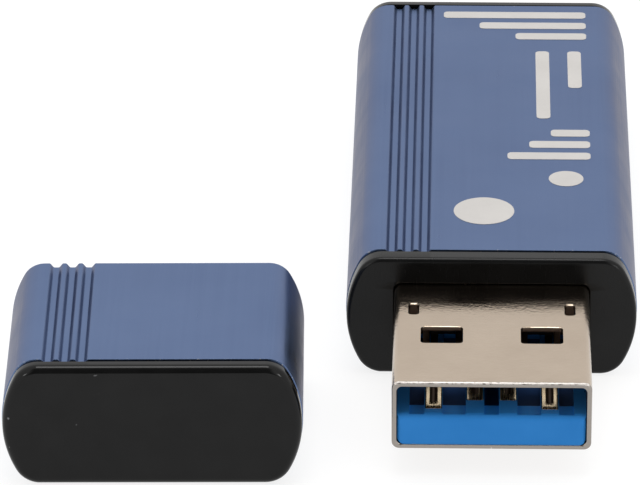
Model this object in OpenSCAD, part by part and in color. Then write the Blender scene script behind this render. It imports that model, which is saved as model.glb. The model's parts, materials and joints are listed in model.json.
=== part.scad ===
// Memory stick with a USB 3.0 Standard-A plug and a separate pull-off cap, in millimetres.
// Frame: +Z up, the plug points to -Y. The origin is the centre of the sleeve's flat underside.
// The cap lies loose beside the plug, level with the place it has when it is on.

/* [Case] */
// Width of the sleeve over its bulged sides
case_w = 18.05; // [17.65:0.1:18.95]
// Height of the sleeve
case_h = 8.05; // [7.95:0.1:8.75]
// Length from the front collar's face to the rear face
case_l = 38.95; // [38.65:0.1:40.95]
// Wall of the aluminium sleeve
case_wall = 0.8; // [0.6:0.1:0.8]
// Radius of the long edges
edge_r = 1.45; // [1.35:0.05:1.7]
// Radius of the bulged sides
side_r = 6.7; // [6:0.1:8]
// How far the front collar stands out of the sleeve
collar_out = 1.25; // [0.85:0.1:1.45]
// How far the rear piece stands out of the sleeve
rear_out = 0.9; // [0.6:0.1:1]
// How far the moulded ends lie inside the sleeve's outline
end_inset = 0.04; // [0.04:0.02:0.3]
// Shadow gap between the sleeve and each moulded end
end_gap = 0.18; // [0.1:0.02:0.25]

/* [Grooves] */
// Number of long grooves in the top
groove_count = 3; // [1:1:4]
// Distance from the centre to the middle groove
groove_x = 5.2; // [5:0.1:5.3]
// Spacing of the grooves
groove_pitch = 1.0; // [0.8:0.05:1]
// Width of a groove at the surface
groove_w = 0.6; // [0.4:0.05:0.7]
// Depth of a groove
groove_deep = 0.28; // [0.15:0.01:0.35]

/* [Plug] */
// Width of the plug's steel shell
plug_w = 12; // [11.9:0.05:12.1]
// Height of the plug's steel shell
plug_h = 4.5; // [4.4:0.05:4.6]
// Length of plug outside the collar
plug_out = 13; // [12.2:0.1:13]
// Thickness of the shell's sheet
sheet = 0.3; // [0.28:0.01:0.32]
// Clearance around the plug in the collar and in the cap
plug_gap = 0.15; // [0.12:0.01:0.2]
// Depth of the insulator's front face behind the shell's tip
tongue_back = 0.14; // [0.1:0.02:0.6]

/* [Cap] */
// Length of the cap, from its mouth to its closed face
cap_l = 13.8; // [13.7:0.1:14.5]
// How far the cap's black end stands out of its sleeve
cap_out = 1.05; // [0.6:0.05:1.2]
// Distance from the drive's centre line to the loose cap's mouth
cap_aside = 20.6; // [20:0.05:30]
// How far the loose cap's mouth lies in front of the collar's face
cap_forward = 0.9; // [0:0.1:2]
// Turn of the loose cap about the vertical, in degrees
cap_turn = 1.3; // [0:0.1:3]

/* [Hidden] */
$fn = 96;
EPS = 0.01;

mid_z = case_h / 2;
front_y = -case_l / 2;

// Outline of the case: flat top and bottom, corner arcs and bulged side arcs, all tangent
side_cx = case_w / 2 - side_r;
edge_cz = case_h / 2 - edge_r;
edge_cx = side_cx + sqrt(pow(side_r - edge_r, 2) - pow(edge_cz, 2));

// Plain clearance between parts, and depth of the moulded ends inside a sleeve
fit_gap = 0.1;
spigot_l = 1.5;
inner_inset = case_wall + fit_gap;

// Stations along the drive, counted backwards from the collar's face
sleeve_front = collar_out;
sleeve_rear = case_l - rear_out;
collar_rear = sleeve_front + spigot_l;
carrier_front = collar_rear + fit_gap;
carrier_wall = 1;
carrier_rear = sleeve_rear - carrier_wall;

// Circuit board and the hollow around it, with heights counted from the plug's mid-plane
board_top = -0.2;
board_thick = 0.8;
board_bottom = board_top - board_thick;
board_front = 5.45;
board_rear = carrier_rear - carrier_wall - 0.4;
board_w = 14;
board_tab_w = 11;
board_tab_rear = 8.4;
hollow_w = 14.3;
hollow_h = 4.8;
rail_w = 0.85;
split_z = board_top - board_thick / 2;

// Plug: shell, insulators and contacts
shell_r = 0.45;
shell_rear = 5.3;
inner_w = plug_w - 2 * sheet;
inner_h = plug_h - 2 * sheet;
latch_x = 3.04;
latch_w = 2.58;
latch_l = 2.15;
latch_from_tip = 5.15;
slot_x = 4.78;
slot_w = 0.68;
slot_l = 1.4;
slot_from_tip = 8.9;
hole_r = 0.2;
seam_w = 0.06;
leg_l = 2.9;
leg_over = 0.5;
tongue_gap = 0.1;
tongue_r = 0.35;
tongue_front = -plug_out + tongue_back;
lip_l = 0.25;
lip_r = 0.4;
spacer_front = -plug_out + 10.7;
recess_w = 9.7;
recess_deep = 0.35;
ledge_l = 1.75;
well_deep = 1;
rib_w = 1.3;
contact_thick = 0.2;
pad_w = 1.0;
pad_rear = spacer_front - 2.3;
tail_w = 0.4;
tail_rear = 7.2;
channel_gap = 0.02;
trough_w = 0.56;
trough_back = 0.5;
trough_deep = 0.1;
finger_rise = 0.95;
USB2_X = [-3.5, -1, 1, 3.5];
USB2_BACK = [0.84, 1.94, 1.94, 0.84];
SUPERSPEED_X = [-4, -2, 0, 2, 4];

// Ribs in the cap's pocket that grip the plug
grip_x = 3;
grip_r = 0.2;
grip_gap = 0.03;
grip_front = -9;
grip_rear = -2;

// Parts on the board: sizes as [across, along, high], places behind the collar's face
standoff = 0.1;
lead_thick = 0.12;
lead_knee = 0.35;
lead_rise = 0.5;
memory_size = [12, 18.4, 1.0];
memory_front = 14.4;
memory_lead_pitch = 0.5;
memory_lead_count = 24;
memory_lead_w = 0.22;
memory_lead_reach = 0.8;
memory_dimple_r = 0.5;
memory_dimple_in = 1.2;
controller_size = [8, 8, 0.85];
controller_front = 15.6;
controller_dimple_r = 0.35;
controller_dimple_in = 1;
dimple_deep = 0.08;
regulator_size = [2.9, 1.6, 1.0];
regulator_x = -3;
regulator_front = 10;
regulator_lead_w = 0.4;
regulator_lead_reach = 0.6;
regulator_lead_pitch = 0.95;
crystal_size = [3.2, 2.5, 0.7];
crystal_centre = 12.2;
crystal_r = 0.3;
inductor_size = [3, 3, 1.2];
inductor_centre = 28;
inductor_r = 0.5;
passive_size = [1.6, 0.8, 0.6];
resistor_high = 0.45;
terminal_l = 0.35;
solder_l = 0.5;
solder_high = 0.18;

// Printed marks in the top view: discs as [x, distance behind the collar's face, radius],
// bars as [left, right, front, rear]
ink_thick = 0.02;
bar_ends = 0.3;
DISCS = [[-0.5, 6.7, 1.9], [4.7, 11.4, 1.1]];
BARS = [
    [1.0, 6.3, 14.2, 15.2], [2.4, 6.3, 15.9, 16.9], [3.8, 6.3, 17.6, 18.6],
    [2.9, 3.8, 20.3, 30.7], [5.0, 5.9, 25.0, 30.7],
    [1.6, 6.3, 32.6, 33.6], [-0.8, 6.3, 34.3, 35.3], [-3.2, 6.3, 36.0, 37.0]
];

// ---- shared shapes ----

// Front-view outline of the case, shrunk evenly by inset
module outline(inset = 0) {
    square([2 * edge_cx, case_h - 2 * inset], center = true);
    for (side = [-1, 1]) {
        intersection() {
            translate([side * side_cx, 0]) circle(r = side_r - inset);
            polygon([
                [side * side_cx, 0],
                [side * (side_cx + 3 * (edge_cx - side_cx)), -3 * edge_cz],
                [side * (side_cx + 3 * (edge_cx - side_cx)), 3 * edge_cz]
            ]);
        }
        for (up = [-1, 1]) {
            translate([side * edge_cx, up * edge_cz]) circle(r = edge_r - inset);
        }
    }
}

// Rectangle with round corners
module round_rect(w, h, r) {
    square([w - 2 * r, h], center = true);
    square([w, h - 2 * r], center = true);
    for (sx = [-1, 1]) {
        for (sz = [-1, 1]) {
            translate([sx * (w / 2 - r), sz * (h / 2 - r)]) circle(r = r);
        }
    }
}

// Opening that the plug passes through
module plug_window() {
    round_rect(plug_w + 2 * plug_gap, plug_h + 2 * plug_gap, shell_r + plug_gap);
}

// Extrudes a front-view outline from s0 to s1 behind the collar's face
module prism(s0, s1) {
    translate([0, front_y + s1, mid_z]) rotate([90, 0, 0]) linear_extrude(s1 - s0) children();
}

// Extrudes a side view of [distance behind the collar's face, height over mid-plane] across x
module side_prism(x, w, points) {
    translate([x - w / 2, front_y, mid_z]) rotate([90, 0, 90]) linear_extrude(w) polygon(points);
}

// Box with x centred on x, from s0 to s1 and from z0 to z1
module block(x, w, s0, s1, z0, z1) {
    translate([x - w / 2, front_y + s0, mid_z + z0]) cube([w, s1 - s0, z1 - z0]);
}

// Extruded aluminium tube with grooves in its top, used for the body and for the cap
module grooved_tube(s0, s1) {
    prism(s0, s1) difference() {
        outline();
        outline(case_wall);
        for (i = [0 : groove_count - 1]) {
            translate([-groove_x + (i - (groove_count - 1) / 2) * groove_pitch, mid_z]) polygon([
                [-groove_w / 2, 1],
                [-groove_w / 2, 0],
                [-groove_w / 3, -groove_deep],
                [groove_w / 3, -groove_deep],
                [groove_w / 2, 0],
                [groove_w / 2, 1]
            ]);
        }
    }
}

// Puts a piece of the cap, drawn as if it were on the plug, where the loose cap lies
module loose_cap() {
    translate([-cap_aside, front_y - cap_forward, 0]) rotate([0, 0, cap_turn])
        translate([0, -front_y, 0]) children();
}

// ---- case ----

module housing_sleeve() {
    color([0.33, 0.41, 0.60]) grooved_tube(sleeve_front, sleeve_rear);
}

module front_collar() {
    color([0.05, 0.05, 0.06]) difference() {
        union() {
            prism(0, sleeve_front - end_gap) outline(end_inset);
            prism(sleeve_front - end_gap - EPS, collar_rear) outline(inner_inset);
        }
        prism(-1, collar_rear + 1) plug_window();
    }
}

module rear_end_piece() {
    color([0.05, 0.05, 0.06]) union() {
        prism(sleeve_rear + end_gap, case_l) outline(end_inset);
        prism(carrier_rear + fit_gap, sleeve_rear + end_gap + EPS) outline(inner_inset);
    }
}

// Inner frame with a hollow for the board and rails that hold the board's edges
module carrier() {
    difference() {
        prism(carrier_front, carrier_rear) outline(inner_inset);
        block(0, hollow_w, carrier_front + carrier_wall, carrier_rear - carrier_wall,
              -hollow_h / 2, hollow_h / 2);
        prism(carrier_front - 1, carrier_front + carrier_wall + 1)
            round_rect(plug_w + fit_gap, plug_h + fit_gap, shell_r);
    }
    for (side = [-1, 1]) {
        block(side * (hollow_w - rail_w) / 2, rail_w, board_tab_rear, carrier_rear - carrier_wall,
              -hollow_h / 2, hollow_h / 2);
    }
}

// Slot that the board's long edges sit in
module board_slot() {
    block(0, hollow_w, carrier_front + carrier_wall, carrier_rear - carrier_wall,
          board_bottom, board_top);
}

module carrier_lower() {
    color([0.80, 0.80, 0.78]) intersection() {
        difference() {
            carrier();
            board_slot();
        }
        block(0, 2 * case_w, 0, case_l, -case_h, split_z - EPS);
    }
}

module carrier_upper() {
    color([0.80, 0.80, 0.78]) intersection() {
        difference() {
            carrier();
            board_slot();
        }
        block(0, 2 * case_w, 0, case_l, split_z + EPS, case_h);
    }
}

// ---- plug ----

// Cutter for a hole with round corners in the shell's flat sides, from height z0 upwards
module shell_hole(x, w, from_tip, l, z0) {
    translate([x, front_y - plug_out + from_tip + l / 2, mid_z + z0])
        linear_extrude(2 * plug_h) round_rect(w, l, hole_r);
}

// Folded steel sheet: latch holes above and below, two small slots above, a seam below
module plug_shell() {
    color([0.76, 0.73, 0.68]) union() {
        difference() {
            prism(-plug_out, shell_rear) difference() {
                round_rect(plug_w, plug_h, shell_r);
                round_rect(inner_w, inner_h, shell_r - sheet);
                translate([0, -plug_h / 2]) square([seam_w, 3 * sheet], center = true);
            }
            for (side = [-1, 1]) {
                shell_hole(side * latch_x, latch_w, latch_from_tip, latch_l, -plug_h);
                shell_hole(side * slot_x, slot_w, slot_from_tip, slot_l, 0);
            }
        }
        for (side = [-1, 1]) {
            block(side * (plug_w - sheet) / 2, sheet, shell_rear - EPS, shell_rear + leg_l,
                  board_bottom - leg_over, board_top + leg_over);
        }
    }
}

// Channel for one contact strip: wide under the pad, narrow behind it
module contact_channel(x, pad_front) {
    block(x, pad_w + 2 * channel_gap, pad_front - channel_gap, pad_rear + channel_gap,
          -contact_thick, 1);
    block(x, tail_w + 2 * channel_gap, pad_rear, shell_rear + 1, -contact_thick, 1);
}

// Side view of the lower insulator, with its upper front edge rounded, drawn across x
module tongue_side() {
    translate([-plug_w / 2, front_y + tongue_front, mid_z - plug_h / 2])
        rotate([90, 0, 90]) linear_extrude(plug_w) union() {
            square([-tongue_front + shell_rear, plug_h / 2 - lip_r]);
            translate([lip_r, 0]) square([-tongue_front + shell_rear - lip_r, plug_h / 2]);
            translate([lip_r, plug_h / 2 - lip_r]) circle(r = lip_r);
        }
}

// Blue lower insulator. Ribs carry the contacts, with a ledge and then a well between them.
module plug_tongue() {
    color([0.10, 0.42, 0.78]) difference() {
        intersection() {
            prism(tongue_front, shell_rear) intersection() {
                round_rect(inner_w - 2 * tongue_gap, inner_h, tongue_r);
                translate([0, -plug_h / 2]) square([plug_w, plug_h], center = true);
            }
            tongue_side();
        }
        difference() {
            union() {
                block(0, recess_w, tongue_front + lip_l, spacer_front, -recess_deep, 1);
                block(0, recess_w, tongue_front + lip_l + ledge_l, spacer_front, -well_deep, 1);
            }
            for (x = USB2_X) {
                block(x, rib_w, tongue_front, spacer_front + 1, -1, 1);
            }
        }
        for (i = [0 : len(USB2_X) - 1]) {
            contact_channel(USB2_X[i], tongue_front + USB2_BACK[i]);
        }
    }
}

// Upper insulator that clamps the contacts behind the plug's open space
module plug_spacer() {
    color([0.10, 0.10, 0.11]) difference() {
        prism(spacer_front, shell_rear) intersection() {
            round_rect(inner_w - 2 * tongue_gap, inner_h, tongue_r);
            translate([0, plug_h / 2]) square([plug_w, plug_h], center = true);
        }
        for (x = SUPERSPEED_X) {
            block(x, tail_w + 2 * channel_gap, spacer_front - 1, shell_rear + 1, -1, contact_thick);
        }
    }
}

// Flat contact of the older four-wire set, with a trough pressed into its pad
module usb2_contact(i) {
    pad_front = tongue_front + USB2_BACK[i];
    trough_front = pad_front + trough_back + trough_w / 2;
    color([0.86, 0.76, 0.55]) difference() {
        union() {
            block(USB2_X[i], pad_w, pad_front, pad_rear, -contact_thick, 0);
            block(USB2_X[i], tail_w, pad_rear - EPS, tail_rear, -contact_thick, 0);
        }
        block(USB2_X[i], trough_w, trough_front, pad_rear - trough_back, -trough_deep, 1);
        translate([USB2_X[i], front_y + trough_front, mid_z - trough_deep])
            cylinder(r = trough_w / 2, h = 1);
    }
}

// Sprung contact of the five-wire set: a finger that rises over the pads, and a tail on the board
module superspeed_contact(i) {
    color([0.86, 0.76, 0.55]) side_prism(SUPERSPEED_X[i], tail_w, [
        [tail_rear, -contact_thick],
        [tail_rear, 0],
        [shell_rear + 0.4, 0],
        [shell_rear + 0.1, contact_thick],
        [spacer_front, contact_thick],
        [spacer_front - 0.9, finger_rise],
        [spacer_front - 1.2, finger_rise],
        [spacer_front - 1.9, 0.45],
        [spacer_front - 1.9, 0.25],
        [spacer_front - 1.1, 0.75],
        [spacer_front - 0.1, 0],
        [shell_rear, 0],
        [shell_rear + 0.3, -contact_thick]
    ]);
}

// ---- circuit board and the parts on it ----

module circuit_board() {
    color([0.05, 0.28, 0.16]) union() {
        block(0, board_tab_w, board_front, board_tab_rear + EPS, board_bottom, board_top);
        block(0, board_w, board_tab_rear, board_rear, board_bottom, board_top);
    }
}

module memory_chip() {
    color([0.10, 0.10, 0.11]) difference() {
        block(0, memory_size[0], memory_front, memory_front + memory_size[1],
              board_top + standoff, board_top + standoff + memory_size[2]);
        translate([-memory_size[0] / 2 + memory_dimple_in, front_y + memory_front + memory_dimple_in,
                   mid_z + board_top + standoff + memory_size[2] - dimple_deep])
            cylinder(r = memory_dimple_r, h = 1);
    }
}

// One bent lead, from the body's end wall at s out and down to the board
module gull_lead(x, w, s, dir, reach) {
    side_prism(x, w, [
        [s, board_top + lead_rise],
        [s, board_top + lead_rise + lead_thick],
        [s + dir * (lead_knee * reach + lead_thick), board_top + lead_rise + lead_thick],
        [s + dir * (lead_knee * reach + lead_thick), board_top + lead_thick],
        [s + dir * reach, board_top + lead_thick],
        [s + dir * reach, board_top],
        [s + dir * lead_knee * reach, board_top],
        [s + dir * lead_knee * reach, board_top + lead_rise]
    ]);
}

module memory_leads() {
    color([0.78, 0.78, 0.80]) for (i = [0 : memory_lead_count - 1]) {
        x = (i - (memory_lead_count - 1) / 2) * memory_lead_pitch;
        gull_lead(x, memory_lead_w, memory_front, -1, memory_lead_reach);
        gull_lead(x, memory_lead_w, memory_front + memory_size[1], 1, memory_lead_reach);
    }
}

module controller_chip() {
    color([0.10, 0.10, 0.11]) difference() {
        block(0, controller_size[0], controller_front, controller_front + controller_size[1],
              board_bottom - controller_size[2], board_bottom);
        translate([-controller_size[0] / 2 + controller_dimple_in,
                   front_y + controller_front + controller_dimple_in,
                   mid_z + board_bottom - controller_size[2] - 1])
            cylinder(r = controller_dimple_r, h = 1 + dimple_deep);
    }
}

module crystal() {
    color([0.80, 0.80, 0.82])
        translate([0, front_y + crystal_centre, mid_z + board_bottom - crystal_size[2]])
            linear_extrude(crystal_size[2]) round_rect(crystal_size[0], crystal_size[1], crystal_r);
}

module voltage_regulator() {
    color([0.10, 0.10, 0.11])
        block(regulator_x, regulator_size[0], regulator_front, regulator_front + regulator_size[1],
              board_top + standoff, board_top + standoff + regulator_size[2]);
}

module regulator_leads() {
    color([0.78, 0.78, 0.80]) union() {
        for (i = [-1, 0, 1]) {
            gull_lead(regulator_x + i * regulator_lead_pitch, regulator_lead_w, regulator_front, -1,
                      regulator_lead_reach);
        }
        for (i = [-1, 1]) {
            gull_lead(regulator_x + i * regulator_lead_pitch, regulator_lead_w,
                      regulator_front + regulator_size[1], 1, regulator_lead_reach);
        }
    }
}

module inductor() {
    color([0.20, 0.20, 0.21])
        translate([0, front_y + inductor_centre, mid_z + board_bottom - inductor_size[2]])
            linear_extrude(inductor_size[2]) round_rect(inductor_size[0], inductor_size[1], inductor_r);
}

// Places of the small two-ended parts: [x, distance behind the collar's face, on top]
CAPACITOR_PLACES = concat(
    [for (i = [0 : 2]) [0.6 + 2 * i, 10.8, true]],
    [for (i = [0 : 3]) [-4.5 + 3 * i, 25.6, false]]
);
RESISTOR_PLACES = concat(
    [for (i = [0 : 1]) [2 * i + 1.6, 12.4, true]],
    [for (i = [0 : 1]) [-4.5 + 9 * i, 12.2, false]]
);

// Part of a two-ended component between x0 and x1 of its own length
module passive(place, x0, x1, thick) {
    block(place[0] + (x0 + x1) / 2, x1 - x0, place[1] - passive_size[1] / 2,
          place[1] + passive_size[1] / 2,
          place[2] ? board_top : board_bottom - thick,
          place[2] ? board_top + thick : board_bottom);
}

module capacitors() {
    half = passive_size[0] / 2 - terminal_l;
    color([0.66, 0.56, 0.42]) for (place = CAPACITOR_PLACES) {
        passive(place, -half, half, passive_size[2]);
    }
}

module resistors() {
    half = passive_size[0] / 2 - terminal_l;
    color([0.08, 0.08, 0.09]) for (place = RESISTOR_PLACES) {
        passive(place, -half, half, resistor_high);
    }
}

module passive_terminals() {
    half = passive_size[0] / 2;
    color([0.80, 0.80, 0.82]) for (end = [-1, 1]) {
        for (place = CAPACITOR_PLACES) {
            passive(place, end * half - (1 + end) / 2 * terminal_l,
                    end * half + (1 - end) / 2 * terminal_l, passive_size[2]);
        }
        for (place = RESISTOR_PLACES) {
            passive(place, end * half - (1 + end) / 2 * terminal_l,
                    end * half + (1 - end) / 2 * terminal_l, resistor_high);
        }
    }
}

// Solder at the ends of the nine tails and along the shell's two legs
module solder_joints() {
    color([0.72, 0.73, 0.75]) union() {
        for (x = concat(USB2_X, SUPERSPEED_X)) {
            side_prism(x, tail_w + 2 * channel_gap, [
                [tail_rear, board_top],
                [tail_rear + solder_l, board_top],
                [tail_rear, board_top + solder_high]
            ]);
        }
        for (side = [-1, 1]) {
            block(side * (inner_w + board_tab_w) / 4, (inner_w - board_tab_w) / 2,
                  board_front + 1, board_tab_rear - 0.4, board_bottom + 0.1, board_top - 0.1);
        }
    }
}

// ---- printed marks ----

// Plain bar with round ends in the top view, between two corners
module mark_bar(x0, x1, s0, s1) {
    translate([(x0 + x1) / 2, front_y + (s0 + s1) / 2]) round_rect(x1 - x0, s1 - s0, bar_ends);
}

module printed_marks() {
    color([0.84, 0.83, 0.80]) translate([0, 0, case_h]) linear_extrude(ink_thick) union() {
        for (disc = DISCS) {
            translate([disc[0], front_y + disc[1]]) circle(r = disc[2]);
        }
        for (bar = BARS) {
            mark_bar(bar[0], bar[1], bar[2], bar[3]);
        }
    }
}

// ---- cap ----

module cap_sleeve() {
    color([0.33, 0.41, 0.60]) loose_cap() grooved_tube(-cap_l + cap_out, 0);
}

module cap_end() {
    color([0.05, 0.05, 0.06]) loose_cap() difference() {
        union() {
            prism(-cap_l, -cap_l + cap_out - end_gap) outline(end_inset);
            prism(-cap_l + cap_out - end_gap - EPS, -cap_l + cap_out + spigot_l)
                outline(inner_inset);
        }
        prism(-plug_out - fit_gap, 0) plug_window();
    }
}

module cap_liner() {
    color([0.05, 0.05, 0.06]) loose_cap() union() {
        prism(-cap_l + cap_out + spigot_l, -fit_gap) difference() {
            outline(inner_inset);
            plug_window();
        }
        for (side = [-1, 1]) {
            for (up = [-1, 1]) {
                prism(grip_front, grip_rear)
                    translate([side * grip_x, up * (plug_h / 2 + grip_r + grip_gap)])
                        circle(r = grip_r);
            }
        }
    }
}

housing_sleeve();
front_collar();
rear_end_piece();
carrier_lower();
carrier_upper();
plug_shell();
plug_tongue();
plug_spacer();
usb2_contact(0);  // usb2_contact_1
usb2_contact(1);  // usb2_contact_2
usb2_contact(2);  // usb2_contact_3
usb2_contact(3);  // usb2_contact_4
superspeed_contact(0);  // superspeed_contact_1
superspeed_contact(1);  // superspeed_contact_2
superspeed_contact(2);  // superspeed_contact_3
superspeed_contact(3);  // superspeed_contact_4
superspeed_contact(4);  // superspeed_contact_5
circuit_board();
memory_chip();
memory_leads();
controller_chip();
crystal();
voltage_regulator();
regulator_leads();
inductor();
capacitors();
resistors();
passive_terminals();
solder_joints();
printed_marks();
cap_sleeve();
cap_end();
cap_liner();
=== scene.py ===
"""Looks of the memory stick and its cap: shaped pieces, materials, studio light and camera.

Shapes are drawn in millimetres on the drive's own axis, then put into the frame in metres.
"""

import json
import math

import bmesh
import bpy
from mathutils import Matrix, Vector
from mathutils.geometry import tessellate_polygon


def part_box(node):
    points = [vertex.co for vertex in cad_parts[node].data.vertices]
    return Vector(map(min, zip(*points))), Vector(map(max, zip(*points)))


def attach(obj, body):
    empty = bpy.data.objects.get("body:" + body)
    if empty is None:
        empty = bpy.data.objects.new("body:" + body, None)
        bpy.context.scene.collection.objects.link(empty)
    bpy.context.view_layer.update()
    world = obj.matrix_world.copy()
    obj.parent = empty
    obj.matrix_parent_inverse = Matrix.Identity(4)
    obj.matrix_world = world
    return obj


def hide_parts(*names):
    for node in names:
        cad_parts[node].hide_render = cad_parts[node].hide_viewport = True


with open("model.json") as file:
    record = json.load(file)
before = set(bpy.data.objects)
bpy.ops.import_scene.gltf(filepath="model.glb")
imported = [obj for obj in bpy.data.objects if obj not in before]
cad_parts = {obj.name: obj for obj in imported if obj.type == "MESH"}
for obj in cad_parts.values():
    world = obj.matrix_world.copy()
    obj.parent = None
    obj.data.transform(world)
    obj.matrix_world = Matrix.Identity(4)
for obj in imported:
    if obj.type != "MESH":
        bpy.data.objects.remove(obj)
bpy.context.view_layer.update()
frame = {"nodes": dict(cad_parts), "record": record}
MM = 0.001

# ---- sizes, in millimetres ----

# Extruded case: outline, wall, and the three grooves in its top
CASE_W, CASE_H = 18.05, 8.05
EDGE_R, SIDE_R = 1.45, 6.7
CASE_WALL = 0.8
GROOVE_XS = (-4.2, -5.2, -6.2)
GROOVE_HALF, GROOVE_FLOOR, GROOVE_DEEP = 0.43, 0.12, 0.28
# Mouldings: step in from the case, gap to it, extra corner radius, and the parts inside the case
# with the chamfer that leads them in
END_INSET, END_GAP, CORNER_MORE = 0.04, 0.18, 0.25
LINER_INSET = CASE_WALL + 0.1
SPIGOT_L, LEAD_IN = 1.5, 0.1
CAP_OUT = 1.05
# Gripping ribs in the cap: place across, radius, axis's height over the plug, ends from the mouth
GRIP_X, GRIP_R, GRIP_OUT, GRIP_YS = 3, 0.2, 0.23, (-9, -2)
# Plug shell: folded sheet, the clearance around it, and how much tighter the collar's window is
SHEET = 0.3
PLUG_W, PLUG_H, PLUG_R = 12.0, 4.5, 0.45
WINDOW_GAP, WINDOW_GRIP = 0.15, 0.10
LATCH = dict(x=3.04, w=2.58, length=2.15, from_tip=5.15, radius=0.25)
SLOT = dict(x=4.78, w=0.68, length=1.4, from_tip=8.9, radius=0.24)
# Blue insulator: corner radii, ribs under the contacts, lip, and the ledge and well behind it
TONGUE_R, TONGUE_SIDE_R = 0.45, 0.3
RIB_W, RECESS_W, LIP_L, LIP_R = 1.1, 9.9, 0.25, 0.4
RECESS_DEEP, LEDGE_L, WELL_DEEP = 0.35, 1.75, 1.0
# Flat contacts: places across the plug, pad with the bar in front of its trough, tail, and the
# clearance around them in the insulator
USB2_X = (-3.5, -1.0, 1.0, 3.5)
PAD_W, PAD_THICK, PAD_R, PAD_BAR = 1.0, 0.32, 0.16, 0.80
TROUGH_W, TROUGH_NARROWS, TROUGH_DEEP = 0.46, 0.21, 0.27
TAIL_W, CHANNEL_GAP = 0.4, 0.02


def box_mm(node):
    """A CAD node's lowest and highest corner, in millimetres."""
    low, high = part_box(node)
    return low / MM, high / MM


SLEEVE_LOW, SLEEVE_HIGH = box_mm("housing_sleeve")
COLLAR_LOW, COLLAR_HIGH = box_mm("front_collar")
REAR_LOW, REAR_HIGH = box_mm("rear_end_piece")
SHELL_LOW, SHELL_HIGH = box_mm("plug_shell")
TONGUE_HIGH = box_mm("plug_tongue")[1]
SPACER_LOW = box_mm("plug_spacer")[0]
MID_Z = (SHELL_LOW.z + SHELL_HIGH.z) / 2
TIP_Y = SHELL_LOW.y
TONGUE_FRONT = TIP_Y + 0.04

SIDE_CX = CASE_W / 2 - SIDE_R


# ---- outlines: lists of (x, z), counter-clockwise seen from the front ----


def arc(cx, cz, r, start, end, steps):
    """Points on an arc, without its last point."""
    turns = [math.radians(start + (end - start) * i / steps) for i in range(steps)]
    return [(cx + r * math.cos(a), cz + r * math.sin(a)) for a in turns]


def groove_points(gx, top, inset):
    """One groove in the flat top, from its right edge to its left edge."""
    half = []
    steps = 8
    for i in range(steps + 1):
        t = i / steps
        drop = GROOVE_DEEP * t * t * (3 - 2 * t)
        half.append((GROOVE_HALF + (GROOVE_FLOOR - GROOVE_HALF) * t, -drop))
    widen = 0.4 * inset
    right = [(gx + dx + widen, top + dz) for dx, dz in half]
    left = [(gx - dx - widen, top + dz) for dx, dz in reversed(half)]
    return right + left


def case_outline(inset=0.0, grooved=False, corner=EDGE_R):
    """The case's outline, shrunk evenly. Grooved or not, it has the same number of points."""
    cz = CASE_H / 2 - corner
    cx = SIDE_CX + math.sqrt((SIDE_R - corner) ** 2 - cz**2)
    phi = math.degrees(math.atan2(cz, cx - SIDE_CX))
    side, edge, top = SIDE_R - inset, corner - inset, CASE_H / 2 - inset
    points = arc(SIDE_CX, 0, side, -phi, phi, 24)
    points += arc(cx, cz, edge, phi, 90, 10)
    points.append((cx, top))
    for gx in GROOVE_XS:
        cut = groove_points(gx, top, inset if grooved else 0.0)
        points += cut if grooved else [(x, top) for x, _ in cut]
    points += arc(-cx, cz, edge, 90, 180 - phi, 10)
    points += arc(-SIDE_CX, 0, side, 180 - phi, 180 + phi, 24)
    points += arc(-cx, -cz, edge, 180 + phi, 270, 10)
    points += arc(cx, -cz, edge, 270, 360 - phi, 10)
    return points


def rounded_rect(w, h, r, steps=8):
    """Rectangle with round corners, centred on the origin."""
    cx, cz = w / 2 - r, h / 2 - r
    points = []
    for sx, sz, start in ((1, -1, 270), (1, 1, 0), (-1, 1, 90), (-1, -1, 180)):
        points += arc(sx * cx, sz * cz, r, start, start + 90, steps)
        end = math.radians(start + 90)
        points.append((sx * cx + r * math.cos(end), sz * cz + r * math.sin(end)))
    return points


def window_outline(grow=0.0):
    """Opening that the plug passes through, grown evenly."""
    gap = 2 * (WINDOW_GAP + grow)
    return rounded_rect(PLUG_W + gap, PLUG_H + gap, PLUG_R + WINDOW_GAP + grow)


def plug_outline(inset=0.0):
    """The plug's outline, shrunk evenly. The folded sheet's inner corners stay round."""
    return rounded_rect(PLUG_W - 2 * inset, PLUG_H - 2 * inset, PLUG_R - 0.4 * inset)


# ---- mesh building ----


def ring(bm, outline, y):
    """Vertices of a front-view outline at station y."""
    return [bm.verts.new((x, y, MID_Z + z)) for x, z in outline]


def flat_ring(bm, outline, z, at=(0.0, 0.0)):
    """Vertices of a top-view outline at height z."""
    return [bm.verts.new((at[0] + x, at[1] + y, z)) for x, y in outline]


def bridge(bm, first, second):
    """Quads between two rings with the same number of points."""
    n = len(first)
    for i in range(n):
        j = (i + 1) % n
        bm.faces.new((first[i], first[j], second[j], second[i]))


def bridge_all(bm, rings, closed=False):
    """Surface over a row of rings, and from the last back to the first if it is closed."""
    for first, second in zip(rings, rings[1:]):
        bridge(bm, first, second)
    if closed:
        bridge(bm, rings[-1], rings[0])


def fill(bm, outer, *holes):
    """Flat face inside a ring, with the given rings as holes."""
    loops = [outer, *holes]
    verts = [v for loop in loops for v in loop]
    for triangle in tessellate_polygon([[v.co for v in loop] for loop in loops]):
        bm.faces.new([verts[i] for i in triangle])


def fillet(y_side, y_face, inset, radius, steps=4):
    """Stations [(y, inset)] that round a long side into an end face, side first."""
    toward = 1 if y_face > y_side else -1
    start = y_face - toward * radius
    stations = []
    for i in range(steps + 1):
        a = math.radians(90 * i / steps)
        y = start + toward * radius * math.sin(a)
        stations.append((y, inset + radius * (1 - math.cos(a))))
    return stations


def box_part(bm, low, high):
    """A plain box inside a larger shape."""
    made = bmesh.ops.create_cube(bm, size=1.0)["verts"]
    low, high = Vector(low), Vector(high)
    for v in made:
        v.co = Vector((low[i] + (v.co[i] + 0.5) * (high[i] - low[i]) for i in range(3)))
    return made


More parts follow.
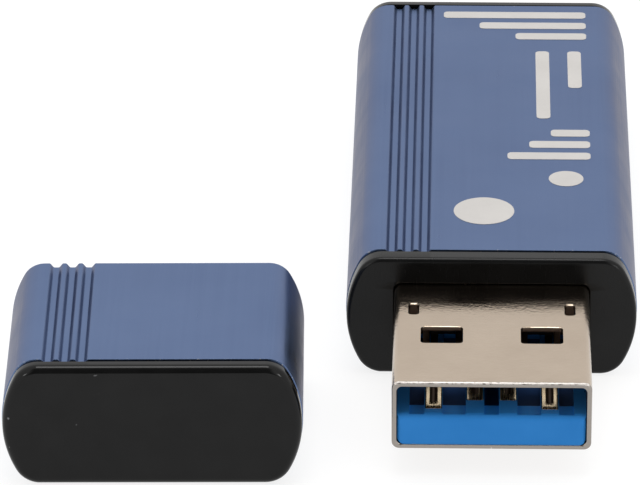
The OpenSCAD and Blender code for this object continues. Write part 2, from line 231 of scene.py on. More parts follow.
def scratch_object(name, bm):
    """Object made of a shape, with its faces turned outwards."""
    mesh = bpy.data.meshes.new(name)
    bmesh.ops.recalc_face_normals(bm, faces=bm.faces)
    bm.to_mesh(mesh)
    bm.free()
    obj = bpy.data.objects.new(name, mesh)
    bpy.context.scene.collection.objects.link(obj)
    return obj


def settle(obj):
    """Replaces an object's mesh with what its modifiers make of it."""
    bpy.context.view_layer.update()
    graph = bpy.context.evaluated_depsgraph_get()
    made = bpy.data.meshes.new_from_object(obj.evaluated_get(graph))
    obj.modifiers.clear()
    obj.data = made


def prism_across(profile, x0, x1):
    """Solid between two planes of x from a side view of (y, z) points."""
    bm = bmesh.new()
    ends = [[bm.verts.new((x, y, z)) for y, z in profile] for x in (x0, x1)]
    bridge(bm, *ends)
    fill(bm, ends[0])
    fill(bm, ends[1])
    return bm


def outside_round(y, z, radius, steps=6):
    """Side view of what lies outside an edge at (y, z) once it is rounded, towards -Y and +Z."""
    turns = [math.radians(90 * i / steps) for i in range(steps + 1)]
    curve = [(y + radius * (1 - math.cos(a)), z - radius * (1 - math.sin(a))) for a in turns]
    spare = 0.3
    return [(y - spare, z - radius), *curve, (y + radius, z + spare), (y - spare, z + spare)]


def make_piece(name, bm, body, material, place=None, cutters=(), bevel=0.0, sharp=40,
               extras=()):
    """Finishes a shape drawn in millimetres: cuts it, rounds its edges, shades it and rides it."""
    obj = scratch_object(name, bm)
    for i, cutter_bm in enumerate(cutters):
        cutter = scratch_object("%s_cut_%d" % (name, i), cutter_bm)
        cut = obj.modifiers.new("cut", "BOOLEAN")
        cut.operation, cut.solver, cut.object = "DIFFERENCE", "MANIFOLD", cutter
        settle(obj)
        bpy.data.objects.remove(cutter)
    if bevel:
        round_off = obj.modifiers.new("round_off", "BEVEL")
        round_off.width, round_off.segments = bevel, 3
        round_off.limit_method, round_off.angle_limit = "ANGLE", math.radians(sharp)
        round_off.use_clamp_overlap = True
        settle(obj)
    for extra_bm in extras:
        extra = scratch_object(name + "_extra", extra_bm)
        joined = bmesh.new()
        joined.from_mesh(obj.data)
        joined.from_mesh(extra.data)
        joined.to_mesh(obj.data)
        joined.free()
        bpy.data.objects.remove(extra)
    mesh = obj.data
    if place is not None:
        mesh.transform(place)
    mesh.transform(Matrix.Scale(MM, 4))
    mesh.shade_smooth()
    mesh.set_sharp_from_angle(angle=math.radians(sharp))
    mesh.materials.clear()
    mesh.materials.append(material)
    weight = obj.modifiers.new("even_shading", "WEIGHTED_NORMAL")
    weight.keep_sharp = True
    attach(obj, body)
    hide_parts(name)
    obj.name = name + "_look"
    return obj


# ---- materials ----

# Features per millimetre of rolling streaks that run across the plug, and along it
ACROSS, ALONG = (0.15, 5.0, 5.0), (6.0, 0.3, 6.0)


class Finish:
    """A procedural material. Scales are in features per millimetre."""

    def __init__(self, name, **constants):
        self.mat = bpy.data.materials.new(name)
        self.mat.use_nodes = True
        self.tree = self.mat.node_tree
        self.shader = self.tree.nodes["Principled BSDF"]
        for socket, value in constants.items():
            self.shader.inputs[socket.replace("_", " ")].default_value = value
        self.coords = self.tree.nodes.new("ShaderNodeTexCoord").outputs["Object"]

    def link(self, source, node, socket):
        self.tree.links.new(source, node.inputs[socket])

    def noise(self, per_mm, stretch=(1, 1, 1), detail=3.0, roughness=0.5):
        """Noise value with the given number of features per millimetre along each axis."""
        mapping = self.tree.nodes.new("ShaderNodeMapping")
        mapping.inputs["Scale"].default_value = [s * per_mm / MM for s in stretch]
        self.link(self.coords, mapping, "Vector")
        noise = self.tree.nodes.new("ShaderNodeTexNoise")
        noise.inputs["Scale"].default_value = 1.0
        noise.inputs["Detail"].default_value = detail
        noise.inputs["Roughness"].default_value = roughness
        self.link(mapping.outputs["Vector"], noise, "Vector")
        return noise.outputs["Fac"]

    def remap(self, value, from_low, from_high, to_low, to_high):
        """Value carried from one range to another, and held at that one's ends."""
        node = self.tree.nodes.new("ShaderNodeMapRange")
        limits = {"From Min": from_low, "From Max": from_high, "To Min": to_low, "To Max": to_high}
        for socket, number in limits.items():
            node.inputs[socket].default_value = number
        self.link(value, node, "Value")
        return node.outputs["Result"]

    def math(self, operation, first, second):
        """Result of an operation on two values, each a number or another node's output."""
        node = self.tree.nodes.new("ShaderNodeMath")
        node.operation = operation
        for i, item in enumerate((first, second)):
            if isinstance(item, (int, float)):
                node.inputs[i].default_value = item
            else:
                self.link(item, node, i)
        return node.outputs[0]

    def blend(self, factor, first, second):
        """Colour between two colours, each a tuple or another node's output."""
        node = self.tree.nodes.new("ShaderNodeMix")
        node.data_type = "RGBA"
        self.link(factor, node, "Factor")
        for socket, colour in ((6, first), (7, second)):
            if isinstance(colour, tuple):
                node.inputs[socket].default_value = (*colour, 1.0)
            else:
                self.link(colour, node, socket)
        return node.outputs[2]

    def colour(self, value):
        self.link(value, self.shader, "Base Color")

    def roughness(self, value):
        self.link(value, self.shader, "Roughness")

    def bump(self, height, depth_mm, strength=1.0):
        """Adds relief to any that the material has already."""
        node = self.tree.nodes.new("ShaderNodeBump")
        node.inputs["Strength"].default_value = strength
        node.inputs["Distance"].default_value = depth_mm * MM
        self.link(height, node, "Height")
        previous = self.shader.inputs["Normal"]
        if previous.is_linked:
            self.link(previous.links[0].from_socket, node, "Normal")
        self.link(node.outputs["Normal"], self.shader, "Normal")

    def along(self, axis, origin=(0.0, 0.0), turn=0.0):
        """A coordinate in millimetres on a piece that stands at origin and is turned about Z."""
        mapping = self.tree.nodes.new("ShaderNodeMapping")
        mapping.vector_type = "TEXTURE"
        mapping.inputs["Location"].default_value = (origin[0] * MM, origin[1] * MM, 0.0)
        mapping.inputs["Rotation"].default_value = (0.0, 0.0, turn)
        self.link(self.coords, mapping, "Vector")
        split = self.tree.nodes.new("ShaderNodeSeparateXYZ")
        self.link(mapping.outputs["Vector"], split, "Vector")
        return self.math("DIVIDE", split.outputs[axis], MM)

    def near(self, station, places, reach):
        """1 at any of the places along a piece, falling to 0 within reach."""
        best = None
        for place in places:
            gap = self.math("ABSOLUTE", self.math("SUBTRACT", station, place), 0.0)
            close = self.remap(gap, 0.0, reach, 1.0, 0.0)
            best = close if best is None else self.math("MAXIMUM", best, close)
        return best


def anodised(name, ends, origin=(0.0, 0.0), turn=0.0):
    """Blue anodised aluminium: blasted grain, faint lines along it, worn specks at the cut ends."""
    f = Finish(name, Metallic=1.0, Specular_Tint=(0.66, 0.60, 0.56, 1.0))
    cloud = f.noise(0.12, detail=2.0)
    lines = f.noise(1.0, stretch=(7.0, 0.05, 7.0), detail=2.0)
    grain = f.noise(14.0, detail=2.0)
    cloud = f.remap(cloud, 0.3, 0.7, 0.0, 1.0)
    base = f.blend(cloud, (0.106, 0.159, 0.288), (0.119, 0.176, 0.312))
    base = f.blend(f.remap(lines, 0.35, 0.65, 0.0, 0.35), base, (0.131, 0.189, 0.327))
    chips = f.remap(f.noise(4.0, detail=4.0, roughness=0.7), 0.60, 0.66, 0.0, 1.0)
    worn = f.math("MULTIPLY", f.near(f.along("Y", origin, turn), ends, 0.12), chips)
    f.colour(f.blend(worn, base, (0.55, 0.57, 0.60)))
    smudge = f.remap(f.noise(0.35, detail=3.0), 0.3, 0.7, 0.30, 0.38)
    f.roughness(f.math("ADD", smudge, f.remap(lines, 0.3, 0.7, -0.03, 0.03)))
    f.bump(grain, 0.004, 0.5)
    f.bump(lines, 0.003, 0.35)
    return f.mat


def gloss_black(name, haziness=0.0):
    """Glossy black moulding with hairline scratches, slight waviness and a few specks of dust."""
    f = Finish(name, IOR=1.295)
    haze = f.noise(0.5, detail=3.0)
    scratches = f.noise(2.0, stretch=(6.0, 0.4, 0.4), detail=4.0, roughness=0.7)
    hazy = f.remap(haze, 0.3, 0.7, 0.0, 1.0)
    black = f.blend(hazy, (0.003, 0.003, 0.003), (0.005, 0.005, 0.005))
    dust = f.remap(f.noise(2.2, detail=0.0), 0.87, 0.91, 0.0, 0.45)
    f.colour(f.blend(dust, black, (0.35, 0.35, 0.36)))
    base = f.remap(haze, 0.3, 0.7, 0.025 + haziness, 0.06 + haziness)
    f.roughness(f.math("ADD", base, f.remap(scratches, 0.62, 0.72, 0.0, 0.12)))
    f.bump(f.noise(0.35, detail=1.0), 0.01, 0.25)
    f.bump(scratches, 0.001, 0.3)
    return f.mat


def matt_plastic(name, low, high, roughness=0.5, grain=0.004):
    """Moulded plastic with a fine matt texture."""
    f = Finish(name, IOR=1.46)
    cloud = f.noise(0.4, detail=3.0)
    f.colour(f.blend(f.remap(cloud, 0.3, 0.7, 0.0, 1.0), low, high))
    f.roughness(f.remap(f.noise(3.0), 0.3, 0.7, roughness - 0.06, roughness + 0.06))
    f.bump(f.noise(12.0, detail=2.0), grain, 0.4)
    return f.mat


def insulator(name):
    """Blue moulded insulator, with painted light on its ledge and painted shade behind the ledge,
    where no light reaches.
    """
    f = Finish(name, IOR=1.16)
    cloud = f.noise(0.4, detail=3.0)
    cloud = f.remap(cloud, 0.3, 0.7, 0.0, 1.0)
    blue = f.blend(cloud, (0.022, 0.172, 0.475), (0.027, 0.190, 0.51))
    ledge = TONGUE_FRONT + LIP_L + LEDGE_L
    behind = f.remap(f.along("Y"), ledge - 0.05, ledge + 0.15, 0.0, 1.0)
    below = f.math("LESS_THAN", f.along("Z"), MID_Z - RECESS_DEEP + 0.05)
    # Painted light: a lighter blue on the ledge, just behind the lip.
    painted_ledge_light = f.math("MULTIPLY", below, f.math("GREATER_THAN", f.along("Y"), TONGUE_FRONT + 0.1))
    blue = f.blend(painted_ledge_light, blue, (0.034, 0.270, 0.740))
    # Painted shade: dark blue in the well behind the ledge, where no light reaches.
    f.colour(f.blend(f.math("MULTIPLY", behind, below), blue, (0.022, 0.055, 0.150)))
    f.roughness(f.remap(f.noise(3.0), 0.3, 0.7, 0.36, 0.48))
    f.bump(f.noise(12.0, detail=2.0), 0.004, 0.4)
    return f.mat


def plated(name, low, high, roughness):
    """Plated metal with rolling streaks, a faint stain and a fine grain."""
    f = Finish(name, Metallic=1.0)
    metal_coat(f, low, high, roughness, ACROSS)
    return f.mat


def metal_coat(f, low, high, roughness, streaks, bare=None, painted_shade=None, burr_and_highlight=None):
    """Plating: grey where bare is 1, bright where the burred-edge mask is 1 (worn metal, partly a
    painted highlight), and dark brown painted shade where the shade mask is 1.
    """
    stain = f.noise(0.25, detail=4.0, roughness=0.6)
    lines = f.noise(1.0, stretch=streaks, detail=3.0)
    colour = f.blend(f.remap(stain, 0.3, 0.7, 0.0, 1.0), low, high)
    shine = f.math("ADD", f.remap(stain, 0.3, 0.7, roughness - 0.03, roughness + 0.04),
                   f.remap(lines, 0.3, 0.7, -0.03, 0.04))
    if bare is not None:
        colour = f.blend(bare, colour, (0.315, 0.288, 0.262))
        shine = f.math("ADD", shine, f.math("MULTIPLY", bare, 0.03))
    # Bright worn metal on the burred top edge of the tip, partly a painted highlight.
    if burr_and_highlight is not None:
        patches = f.remap(f.noise(5.0, detail=3.0), 0.35, 0.55, 0.3, 1.0)
        rubbed_and_highlit = f.math("MULTIPLY", burr_and_highlight, patches)
        colour = f.blend(rubbed_and_highlit, colour, (0.74, 0.69, 0.65))
        shine = f.math("ADD", shine, f.math("MULTIPLY", rubbed_and_highlit, 0.3))
    # Painted shade: dark brown and rougher where the mask is 1.
    if painted_shade is not None:
        colour = f.blend(painted_shade, colour, (0.11, 0.075, 0.055))
        shine = f.math("ADD", shine, f.math("MULTIPLY", painted_shade, 0.2))
    f.colour(colour)
    f.roughness(shine)
    f.bump(lines, 0.002, 0.4)
    f.bump(f.noise(0.3, detail=1.0), 0.02, 0.2)


def contact_gold(name):
    """Gilt contact strip, with painted shade of dark brown in its trough and behind the pads."""
    f = Finish(name, Metallic=1.0)
    # Where the painted shade goes: the trough, and behind the pads under the shell.
    trough = f.math("LESS_THAN", f.along("Z"), MID_Z - 0.05)
    behind = f.math("GREATER_THAN", f.along("Y"), SPACER_LOW.y - 2.5)
    metal_coat(f, (0.80, 0.63, 0.40), (0.90, 0.74, 0.50), 0.26, ALONG,
               painted_shade=f.math("MAXIMUM", trough, behind))
    return f.mat


def shell_steel(name):
    """Nickelled sheet: bare at the cut tip, with a burred top edge there, worn bright and partly a
    painted highlight, and painted shade inside and in the holes.
    """
    f = Finish(name, Metallic=1.0)
    y, z = f.along("Y"), f.along("Z")
    bare = f.remap(f.near(y, (TIP_Y,), 0.22), 0.1, 0.6, 0.0, 1.0)
    # Burred top edge at the tip: worn bright, partly a painted highlight.
    on_top = f.math("GREATER_THAN", z, SHELL_HIGH.z - 0.13)
    behind_face = f.math("GREATER_THAN", y, TIP_Y + 0.004)
    burr_and_highlight = f.math("MULTIPLY", f.math("MULTIPLY", on_top, behind_face), bare)

    # Painted shade: dark brown inside the shell, deep behind the tip, and on the walls of its
    # holes.
    across = f.math("SUBTRACT", f.math("ABSOLUTE", f.along("X"), 0.0), PLUG_W / 2 - SHEET + 0.02)
    height = f.math("ABSOLUTE", f.math("SUBTRACT", z, MID_Z), 0.0)
    upright = f.math("SUBTRACT", height, PLUG_H / 2 - SHEET + 0.02)
    inside = f.math("LESS_THAN", f.math("MAXIMUM", across, upright), 0.0)
    above_floor = f.math("GREATER_THAN", z, MID_Z - PLUG_H / 2 + SHEET + 0.03)
    deep = f.math("GREATER_THAN", y, TIP_Y + 2.2)
    inside = f.math("MULTIPLY", f.math("MULTIPLY", inside, above_floor), deep)
    below_skin = f.math("SUBTRACT", height, PLUG_H / 2 - 0.08)
    in_hole = f.math("LESS_THAN", f.math("MAXIMUM", across, below_skin), 0.0)
    in_hole = f.math("MULTIPLY", in_hole, f.math("GREATER_THAN", y, TIP_Y + 1.0))

    metal_coat(f, (0.400, 0.325, 0.252), (0.440, 0.362, 0.284), 0.15, ACROSS,
               bare, f.math("MAXIMUM", inside, in_hole), burr_and_highlight)
    f.bump(f.noise(4.5, detail=2.0), 0.013, 0.9)
    return f.mat


MATERIALS = {
    "anodised_blue": anodised("anodised_blue", (SLEEVE_LOW.y, SLEEVE_HIGH.y)),
    "gloss_black": gloss_black("gloss_black"),
    "liner_black": matt_plastic("liner_black", (0.010, 0.010, 0.011), (0.016, 0.016, 0.017), 0.38),
    "carrier_white": matt_plastic("carrier_white", (0.58, 0.58, 0.55), (0.63, 0.63, 0.60)),
    "plug_steel": shell_steel("plug_steel"),
    "insulator_blue": insulator("insulator_blue"),
    "contact_gold": contact_gold("contact_gold"),
    "board_green": matt_plastic("board_green", (0.008, 0.070, 0.030), (0.012, 0.095, 0.042), 0.35),
    "chip_black": matt_plastic("chip_black", (0.012, 0.012, 0.013), (0.020, 0.020, 0.022), 0.55),
    "tin": plated("tin", (0.62, 0.62, 0.63), (0.72, 0.72, 0.73), 0.32),
    "ferrite": matt_plastic("ferrite", (0.030, 0.030, 0.032), (0.045, 0.045, 0.048), 0.6),
    "ceramic": matt_plastic("ceramic", (0.36, 0.24, 0.12), (0.42, 0.29, 0.16), 0.4),
    "ink_grey": matt_plastic("ink_grey", (0.472, 0.452, 0.432), (0.508, 0.487, 0.466), 0.42, 0.003),
}
SLOT_OF = {entry["node"]: entry["material_slot"] for entry in frame["record"]["subparts"]}
for node_name, node_object in frame["nodes"].items():
    node_object.data.materials.clear()
    node_object.data.materials.append(MATERIALS[SLOT_OF[node_name]])


# ---- case ----


def grooved_sleeve(y0, y1):
    """Extruded tube with grooves in its top and broken edges at both ends."""
    bm = bmesh.new()
    stations = fillet(y1, y0, 0.0, 0.02, 2)[::-1] + fillet(y0, y1, 0.0, 0.02, 2)
    rings = [ring(bm, case_outline(inset, True), y) for y, inset in stations]
    chamfer = 0.05
    inner = [(y1, CASE_WALL - chamfer), (y1 - chamfer, CASE_WALL)]
    inner += [(y0 + chamfer, CASE_WALL), (y0, CASE_WALL - chamfer)]
    rings += [ring(bm, case_outline(inset), y) for y, inset in inner]
    bridge_all(bm, rings, closed=True)
    return bm


def moulded_end(y_face, y_flange, y_spigot, radius, window=False, pocket=None):
    """Moulding that closes a sleeve: a flange, a spigot, and a plug window or a pocket."""
    bm = bmesh.new()
    back = 1 if y_flange > y_face else -1
    stations = fillet(y_flange, y_face, END_INSET, radius, 7)[::-1]
    broken = 0.03
    stations += [(y_flange - back * broken, END_INSET), (y_flange, END_INSET + broken)]
    stations += [(y_flange, LINER_INSET), (y_spigot - back * LEAD_IN, LINER_INSET)]
    stations.append((y_spigot, LINER_INSET + LEAD_IN))
    rings = [ring(bm, case_outline(inset, corner=EDGE_R + CORNER_MORE), y) for y, inset in stations]
    bridge_all(bm, rings)
    if window:
        front = fillet(y_spigot, y_face, 0.0, 0.07, 3)[::-1]
        hole = [ring(bm, window_outline(grow - WINDOW_GRIP), y) for y, grow in front]
        hole.append(ring(bm, window_outline(-WINDOW_GRIP), y_spigot))
        bridge_all(bm, hole)
        fill(bm, rings[0], hole[0])
        fill(bm, rings[-1], hole[-1])
    elif pocket is not None:
        hole = [ring(bm, window_outline(), y) for y in (pocket, y_spigot)]
        bridge_all(bm, hole)
        fill(bm, rings[0])
        fill(bm, hole[0])
        fill(bm, rings[-1], hole[-1])
    else:
        fill(bm, rings[0])
        fill(bm, rings[-1])
    return bm


make_piece("housing_sleeve", grooved_sleeve(SLEEVE_LOW.y, SLEEVE_HIGH.y), "drive",
           MATERIALS["anodised_blue"])
make_piece("front_collar",
           moulded_end(COLLAR_LOW.y, SLEEVE_LOW.y - END_GAP, COLLAR_HIGH.y, 0.3, window=True),
           "drive", gloss_black("gloss_black_collar", 0.20))
make_piece("rear_end_piece", moulded_end(REAR_HIGH.y, SLEEVE_HIGH.y + END_GAP, REAR_LOW.y, 0.3),
           "drive", MATERIALS["gloss_black"])


# ---- plug ----


def hole_cutter(hole, side, z0, z1):
    """Round-cornered post through the shell's sheet."""
    bm = bmesh.new()
    centre = (side * hole["x"], TIP_Y + hole["from_tip"] + hole["length"] / 2)
    outline = rounded_rect(hole["w"], hole["length"], hole["radius"], 5)
    low, high = (flat_ring(bm, outline, z, centre) for z in (z0, z1))
    bridge(bm, low, high)
    fill(bm, low)
    fill(bm, high)
    return bm


def seam_cutter():
    """Thin seam under the shell with one dovetail, where the folded sheet's edges lock."""
    half = 0.01
    start, end = TIP_Y + 6.5, TIP_Y + 7.5
    out, flare = 0.35, 0.25
    line = [(0, TIP_Y - 1), (0, start), (out, start - flare), (out, end + flare)]
    line += [(0, end), (0, SHELL_HIGH.y + 1)]
    bm = bmesh.new()
    sides = [[(x - half, y) for x, y in line], [(x + half, y) for x, y in line]]
    outline = sides[0] + sides[1][::-1]
    low, high = (flat_ring(bm, outline, z) for z in (SHELL_LOW.z - 1, SHELL_LOW.z + SHEET / 2))
    bridge(bm, low, high)
    fill(bm, low)
    fill(bm, high)
    return bm


def plug_shell():
    """Rectangular tube with a rolled tip."""
    bm = bmesh.new()
    rear = TONGUE_HIGH.y
    tube = fillet(rear, TIP_Y, 0.0, 0.12, 5)[::-1] + [(rear, 0.0), (rear, SHEET)]
    tube += [(TIP_Y + 0.03, SHEET), (TIP_Y, SHEET - 0.03)]
    bridge_all(bm, [ring(bm, plug_outline(inset), y) for y, inset in tube], closed=True)
    return bm


def rolled_edge(hole, side):
    """Cutter that rounds the rear edge of a hole, where the punch drew the sheet down."""
    rear = TIP_Y + hole["from_tip"] + hole["length"]
    half = hole["w"] / 2 - 0.13
    centre = side * hole["x"]
    return prism_across(outside_round(rear - 0.01, SHELL_HIGH.z, 0.2), centre - half, centre + half)


def shell_leg(side):
    """Leg that runs back from one side of the shell to the board."""
    bm = bmesh.new()
    x0, x1 = sorted((side * (PLUG_W / 2 - SHEET), side * PLUG_W / 2))
    box_part(bm, (x0, TONGUE_HIGH.y - 0.01, MID_Z - 1.5), (x1, SHELL_HIGH.y, MID_Z + 0.3))
    return bm


def lock_tab(side):
    """Tongue of sheet bent steeply down from the rear edge of a slot to lock the insulator."""
    rear = TIP_Y + SLOT["from_tip"] + SLOT["length"] + 0.02
    top, foot = SHELL_HIGH.z - 0.12, SHELL_HIGH.z - 1.5
    profile = [(rear, top), (rear - 0.05, top - 0.1), (rear - 0.45, foot)]
    profile += [(rear - 0.22, foot), (rear, top - 0.35)]
    half = SLOT["w"] / 2 - 0.06
    return prism_across(profile, side * SLOT["x"] - half, side * SLOT["x"] + half)


shell_cutters = [seam_cutter()]
shell_extras = []
for side in (-1, 1):
    shell_cutters.append(hole_cutter(LATCH, side, MID_Z - PLUG_H, MID_Z + PLUG_H))
    shell_cutters.append(hole_cutter(SLOT, side, MID_Z, MID_Z + PLUG_H))
    shell_cutters += [rolled_edge(LATCH, side), rolled_edge(SLOT, side)]
    shell_extras += [shell_leg(side), lock_tab(side)]
make_piece("plug_shell", plug_shell(), "drive", MATERIALS["plug_steel"],
           cutters=shell_cutters, bevel=0.04, sharp=50, extras=shell_extras)


def stepped_block(xs, ys, bottom, height, levels):
    """Closed block whose top is a grid of level cells. height(x, y) gives a cell's level."""
    bm = bmesh.new()
    made = {}

    def vert(x, y, z):
        key = (round(x, 4), round(y, 4), round(z, 4))
        if key not in made:
            made[key] = bm.verts.new(key)
        return made[key]

    def wall(a, b, z0, z1):
        cuts = [z0, *[z for z in sorted(levels) if z0 < z < z1], z1]
        for low, high in zip(cuts, cuts[1:]):
            bm.faces.new((vert(*a, low), vert(*b, low), vert(*b, high), vert(*a, high)))

    def level(i, j):
        if 0 <= i < len(xs) - 1 and 0 <= j < len(ys) - 1:
            return height((xs[i] + xs[i + 1]) / 2, (ys[j] + ys[j + 1]) / 2)
        return bottom

    for i in range(len(xs)):
        for j in range(len(ys)):
            here = level(i, j)
            if i < len(xs) - 1 and j < len(ys) - 1:
                x0, x1, y0, y1 = xs[i], xs[i + 1], ys[j], ys[j + 1]
                corners = [(x0, y0), (x1, y0), (x1, y1), (x0, y1)]
                bm.faces.new([vert(x, y, here) for x, y in corners])
                bm.faces.new([vert(x, y, bottom) for x, y in corners])
            if j < len(ys) - 1 and level(i - 1, j) != here:
                wall((xs[i], ys[j]), (xs[i], ys[j + 1]), *sorted((level(i - 1, j), here)))
            if i < len(xs) - 1 and level(i, j - 1) != here:
                wall((xs[i], ys[j]), (xs[i + 1], ys[j]), *sorted((level(i, j - 1), here)))
    bmesh.ops.recalc_face_normals(bm, faces=bm.faces)
    bmesh.ops.dissolve_limit(bm, angle_limit=math.radians(1), verts=bm.verts, edges=bm.edges)
    return bm


TONGUE_X = PLUG_W / 2 - SHEET - 0.02
TONGUE_UNDER = SHELL_LOW.z + SHEET + 0.005
PAD_FRONTS = [box_mm("usb2_contact_%d" % (i + 1))[0].y for i in range(4)]
PAD_REAR = SPACER_LOW.y - 2.3


def tongue_level(x, y):
    """Height of the blue insulator's top at a place."""
    for centre, front in zip(USB2_X, PAD_FRONTS):
        pad = abs(x - centre) < PAD_W / 2 + CHANNEL_GAP and front - CHANNEL_GAP < y < PAD_REAR
        tail = abs(x - centre) < TAIL_W / 2 + CHANNEL_GAP and y > PAD_REAR
        if pad or tail:
            return MID_Z - PAD_THICK
        if abs(x - centre) < RIB_W / 2:
            return MID_Z
    behind_lip = y - TONGUE_FRONT - LIP_L
    if abs(x) > RECESS_W / 2 or behind_lip < 0 or y > SPACER_LOW.y:
        return MID_Z
    return MID_Z - (RECESS_DEEP if behind_lip < LEDGE_L else WELL_DEEP)


def plug_tongue():
    """Blue insulator with its lip, ledge, well, ribs and channels for the contacts."""
    xs = {-TONGUE_X, TONGUE_X, -RECESS_W / 2, RECESS_W / 2}
    for centre in USB2_X:
        for half in (RIB_W / 2, PAD_W / 2 + CHANNEL_GAP, TAIL_W / 2 + CHANNEL_GAP):
            xs |= {centre - half, centre + half}
    lip_rear = TONGUE_FRONT + LIP_L
    ys = {TONGUE_FRONT, lip_rear, lip_rear + LEDGE_L, PAD_REAR, SPACER_LOW.y, TONGUE_HIGH.y}
    ys |= {front - CHANNEL_GAP for front in PAD_FRONTS}
    levels = (MID_Z - WELL_DEEP, MID_Z - RECESS_DEEP, MID_Z - PAD_THICK, MID_Z)
    bm = stepped_block(sorted(xs), sorted(ys), TONGUE_UNDER, tongue_level, levels)
    lower = [e for e in bm.edges if abs(e.verts[0].co.x - e.verts[1].co.x) < 1e-3 and all(
        abs(abs(v.co.x) - TONGUE_X) < 1e-3 and abs(v.co.z - TONGUE_UNDER) < 1e-3 for v in e.verts)]
    bmesh.ops.bevel(bm, geom=lower, offset=TONGUE_R, segments=5, profile=0.5, affect="EDGES")
    return bm


def side_cutter(side):
    """Rounds one upright front edge of the insulator."""
    bm = bmesh.new()
    profile = outside_round(TONGUE_FRONT, TONGUE_X, TONGUE_SIDE_R)
    ends = (MID_Z - PLUG_H, MID_Z + PLUG_H)
    low, high = ([bm.verts.new((side * x, y, z)) for y, x in profile] for z in ends)
    bridge(bm, low, high)
    fill(bm, low)
    fill(bm, high)
    return bm


lip_cutter = prism_across(outside_round(TONGUE_FRONT, MID_Z, LIP_R), -PLUG_W, PLUG_W)
make_piece("plug_tongue", plug_tongue(), "drive", MATERIALS["insulator_blue"],
           cutters=(lip_cutter, side_cutter(-1), side_cutter(1)), bevel=0.02, sharp=40)


def usb2_contact(x, front):
    """Flat contact: a pad with a round-ended trough, and a narrow tail to the board."""
    bm = bmesh.new()
    length = PAD_REAR - front
    pad_at = (x, (front + PAD_REAR) / 2)
    top, under = MID_Z, MID_Z - PAD_THICK
    trough_l = length - PAD_BAR - 0.4
    trough_at = (x, front + PAD_BAR + trough_l / 2)

    def outer(inset, z):
        outline = rounded_rect(PAD_W - 2 * inset, length - 2 * inset, PAD_R - inset)
        return flat_ring(bm, outline, z, pad_at)

    def inner(grow, z):
        w = TROUGH_W + 2 * grow
        return flat_ring(bm, rounded_rect(w, trough_l + 2 * grow, w / 2 - 0.01), z, trough_at)

    rings = [outer(0, under), outer(0, top - 0.06), outer(0.02, top - 0.02), outer(0.06, top)]
    rings.append(inner(0.03, top))
    steps = 8
    for i in range(steps + 1):
        a = math.radians(90 * i / steps)
        deep = 0.02 + TROUGH_DEEP * math.sin(a)
        rings.append(inner(-TROUGH_NARROWS * (1 - math.cos(a)), top - deep))
    bridge_all(bm, rings)
    fill(bm, rings[0])
    fill(bm, rings[-1])
    tail_rear = box_mm("usb2_contact_1")[1].y
    box_part(bm, (x - TAIL_W / 2, PAD_REAR - 0.01, under), (x + TAIL_W / 2, tail_rear, top))
    return bm


for index, (x, front) in enumerate(zip(USB2_X, PAD_FRONTS)):
    make_piece("usb2_contact_%d" % (index + 1), usb2_contact(x, front), "drive",
               MATERIALS["contact_gold"])


# ---- cap: drawn on the plug, then laid beside it ----

pull = Vector(frame["record"]["behaviour"]["joints"][0]["axis"])
cap_turn = math.atan2(pull.x, -pull.y)
cap_box = box_mm("cap_sleeve")
cap_centre = (cap_box[0] + cap_box[1]) / 2
CAP_SLEEVE_L = (cap_box[1].y - cap_box[0].y - CASE_W * math.sin(cap_turn)) / math.cos(cap_turn)
cap_mouth = cap_centre - pull * CAP_SLEEVE_L / 2
MOUTH_Y = COLLAR_LOW.y
CAP_END_Y = MOUTH_Y - CAP_SLEEVE_L - CAP_OUT
CAP_PLACE = (Matrix.Translation((cap_mouth.x, cap_mouth.y, 0)) @ Matrix.Rotation(cap_turn, 4, "Z")
             @ Matrix.Translation((0, -MOUTH_Y, 0)))
POCKET_Y = TIP_Y - 0.1
CAP_FRONT = MOUTH_Y - CAP_SLEEVE_L


def cap_liner():
    """Lining of the cap with the pocket that grips the plug."""
    bm = bmesh.new()
    y0, y1 = CAP_FRONT + SPIGOT_L, MOUTH_Y - 0.1
    stations = [(y0, LINER_INSET), (y1 - LEAD_IN, LINER_INSET), (y1, LINER_INSET + LEAD_IN)]
    outer = [ring(bm, case_outline(inset), y) for y, inset in stations]
    mouth = fillet(y0, y1, 0.0, 0.15)
    hole = [ring(bm, window_outline(), y0)]
    hole += [ring(bm, window_outline(grow), y) for y, grow in mouth]
    bridge_all(bm, outer)
    bridge_all(bm, hole)
    fill(bm, outer[0], hole[0])
    fill(bm, outer[-1], hole[-1])
    for side in (-1, 1):
        for up in (-1, 1):
            rib = arc(side * GRIP_X, up * (PLUG_H / 2 + GRIP_OUT), GRIP_R, 0, 360, 16)
            ends = [ring(bm, rib, MOUTH_Y + y) for y in GRIP_YS]
            bridge(bm, *ends)
            fill(bm, ends[0])
            fill(bm, ends[1])
    return bm


cap_blue = anodised("anodised_blue_cap", (0.0, -CAP_SLEEVE_L), cap_mouth, cap_turn)
make_piece("cap_sleeve", grooved_sleeve(CAP_FRONT, MOUTH_Y), "cap", cap_blue,
           place=CAP_PLACE)
make_piece("cap_end",
           moulded_end(CAP_END_Y, CAP_FRONT - END_GAP, CAP_FRONT + SPIGOT_L, 0.5, pocket=POCKET_Y),
           "cap", MATERIALS["gloss_black"], place=CAP_PLACE)
make_piece("cap_liner", cap_liner(), "cap", MATERIALS["liner_black"],
           place=CAP_PLACE)


# ---- studio ----


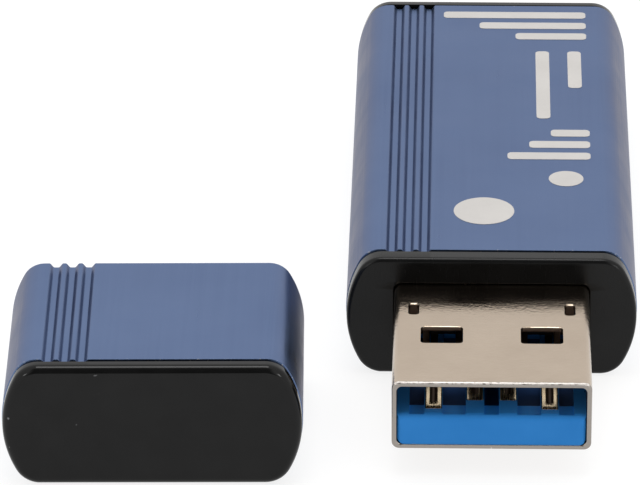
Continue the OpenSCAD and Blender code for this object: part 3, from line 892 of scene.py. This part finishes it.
def floor():
    """Wide pale floor that glows, so that shadows on it stay faint."""
    bm = bmesh.new()
    bmesh.ops.create_grid(bm, x_segments=1, y_segments=1, size=1.5)
    mesh = bpy.data.meshes.new("floor")
    bm.to_mesh(mesh)
    bm.free()
    obj = bpy.data.objects.new("floor", mesh)
    obj.location.z = -0.02 * MM
    bpy.context.scene.collection.objects.link(obj)
    f = Finish("pale_floor", Roughness=0.7, Emission_Color=(1.0, 1.0, 1.0, 1.0),
               Emission_Strength=0.82)
    f.colour(f.blend(f.noise(0.01), (0.16, 0.16, 0.16), (0.18, 0.18, 0.18)))
    mesh.materials.append(f.mat)


def softbox(name, location, target, size, power, size_y=None):
    """Rectangular lamp that faces a target, in metres and watts."""
    light = bpy.data.lights.new(name, "AREA")
    light.shape = "RECTANGLE"
    light.size, light.size_y, light.energy = size, size_y or size, power
    obj = bpy.data.objects.new(name, light)
    obj.location = location
    obj.rotation_euler = (Vector(target) - Vector(location)).to_track_quat("-Z", "Y").to_euler()
    bpy.context.scene.collection.objects.link(obj)


def studio():
    """Floor, surroundings, a lamp overhead and two in front."""
    floor()
    bpy.context.scene.world = surroundings()
    softbox("overhead", location=(-0.01, -0.01, 0.40), target=(-0.01, -0.02, 0),
            size=0.16, size_y=0.14, power=0.39)
    for name, side, power in (("front_left", -1, 0.12), ("front_right", 1, 0.20)):
        softbox(name, location=(side * 0.28, -0.38, 0.16), target=(0, -0.02, 0.005),
                size=0.08, power=power)
    bpy.context.scene.view_settings.view_transform = "Standard"


def surroundings():
    """Even pale surroundings, dark only ahead of the plug, like a light tent open at its front."""
    world = bpy.data.worlds.new("studio")
    world.use_nodes = True
    tree = world.node_tree
    split = tree.nodes.new("ShaderNodeSeparateXYZ")
    direction = tree.nodes.new("ShaderNodeTexCoord").outputs["Generated"]
    tree.links.new(direction, split.inputs["Vector"])

    def join(operation, a, b=None, c=None):
        node = tree.nodes.new("ShaderNodeMath")
        node.operation = operation
        for socket, value in zip(node.inputs, (a, b, c)):
            if isinstance(value, (int, float)):
                socket.default_value = value
            elif value is not None:
                tree.links.new(value, socket)
        return node.outputs["Value"]

    def fade(value, low, high):
        node = tree.nodes.new("ShaderNodeMapRange")
        node.interpolation_type = "SMOOTHSTEP"
        node.inputs["From Min"].default_value = low
        node.inputs["From Max"].default_value = high
        tree.links.new(value, node.inputs["Value"])
        return node.outputs["Result"]

    pale, dark = 1.15, 0.12
    ahead = fade(join("MULTIPLY", split.outputs["Y"], -1.0), 0.12, 0.50)
    aside = fade(join("ABSOLUTE", split.outputs["X"]), 0.20, 0.50)
    slot = join("MULTIPLY", ahead, join("SUBTRACT", 1.0, aside))
    level = join("MULTIPLY_ADD", slot, dark - pale, pale)
    background = tree.nodes["Background"]
    background.inputs["Color"].default_value = (1.0, 1.0, 1.0, 1.0)
    tree.links.new(level, background.inputs["Strength"])
    return world


def camera():
    """Long lens in front of the plug and above it, a little turned and rolled."""
    data = bpy.data.cameras.new("camera")
    data.sensor_width = 36.0
    data.lens = 328.57
    data.clip_start, data.clip_end = 0.01, 10
    obj = bpy.data.objects.new("camera", data)
    pitch, yaw, roll = (math.radians(a) for a in (26.515, 1.565, -0.251))
    tilt = Matrix.Rotation(math.pi / 2 - pitch, 4, "X")
    turn = Matrix.Rotation(yaw, 4, "Z") @ tilt @ Matrix.Rotation(roll, 4, "Z")
    aside, in_front, up = -0.00181, 0.32169, 0.16965
    obj.matrix_world = Matrix.Translation((aside, COLLAR_LOW.y * MM - in_front, up)) @ turn
    bpy.context.scene.collection.objects.link(obj)
    bpy.context.scene.camera = obj


studio()
camera()
